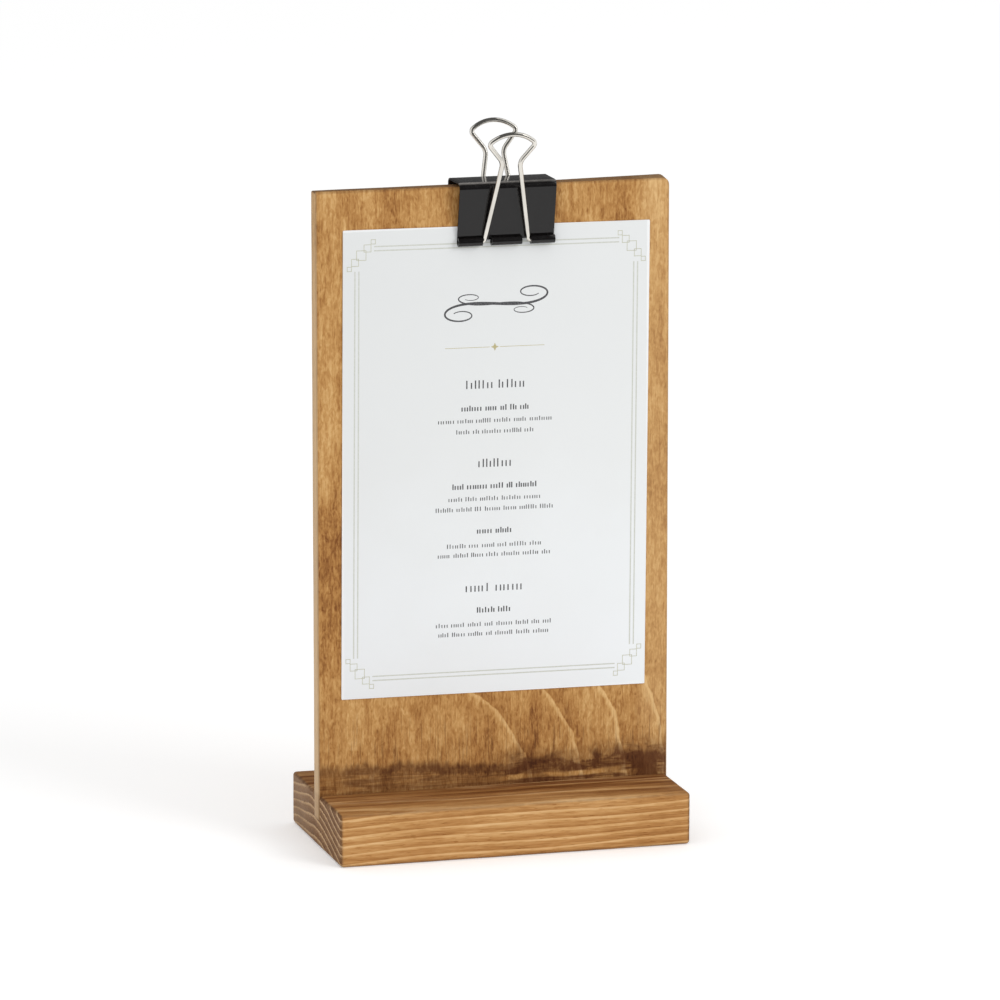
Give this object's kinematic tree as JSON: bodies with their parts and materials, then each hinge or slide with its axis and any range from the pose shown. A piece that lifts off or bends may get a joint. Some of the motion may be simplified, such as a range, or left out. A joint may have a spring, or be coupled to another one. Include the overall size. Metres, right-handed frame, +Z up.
{
  "type": "tabletop menu stand with binder clip",
  "caption": "Upright stained wooden board glued into a grooved base block, with a black binder clip on its top edge that grips a printed menu card against the board.",
  "frame": {"origin": "on the floor under the middle of the base block", "axes": "+Z up along the board, the card faces -Y, +X to the right of a reader"},
  "size_m": [0.1172, 0.0636, 0.233],
  "materials": {
    "stained_block": "golden brown stain on softwood, satin, end grain at both ends",
    "stained_board": "golden brown stain, blotchy upright grain, satin",
    "black_steel": "black enamel on spring steel, satin",
    "nickel_wire": "bright nickel plate on spring wire",
    "card_stock": "smooth white card with a fine printed border"
  },
  "bodies": {
    "stand": {"base_block": "stained_block", "back_board": "stained_board"},
    "clip": {"clip_body": "black_steel"},
    "front_handle": {"front_handle": "nickel_wire"},
    "rear_handle": {"rear_handle": "nickel_wire"},
    "card": {"menu_card": "card_stock"}
  },
  "joints": [
    {"name": "clip_lift", "type": "slide", "parent": "stand", "child": "clip", "axis": [0, 0, 1], "range_m": [-0.0009, 0.028]},
    {"name": "front_handle_swing", "type": "hinge", "parent": "clip", "child": "front_handle", "pos_m": [0.0036, -0.00633, 0.19593], "axis": [1, 0, 0], "range_deg": [-5.2, 163]},
    {"name": "rear_handle_swing", "type": "hinge", "parent": "clip", "child": "rear_handle", "pos_m": [0.0036, 0.00303, 0.19593], "axis": [-1, 0, 0], "range_deg": [-0.9, 167]},
    {"name": "card_slide", "type": "slide", "parent": "stand", "child": "card", "axis": [0, 0, -1], "range_m": [-0.012, 0.028]}
  ]
}
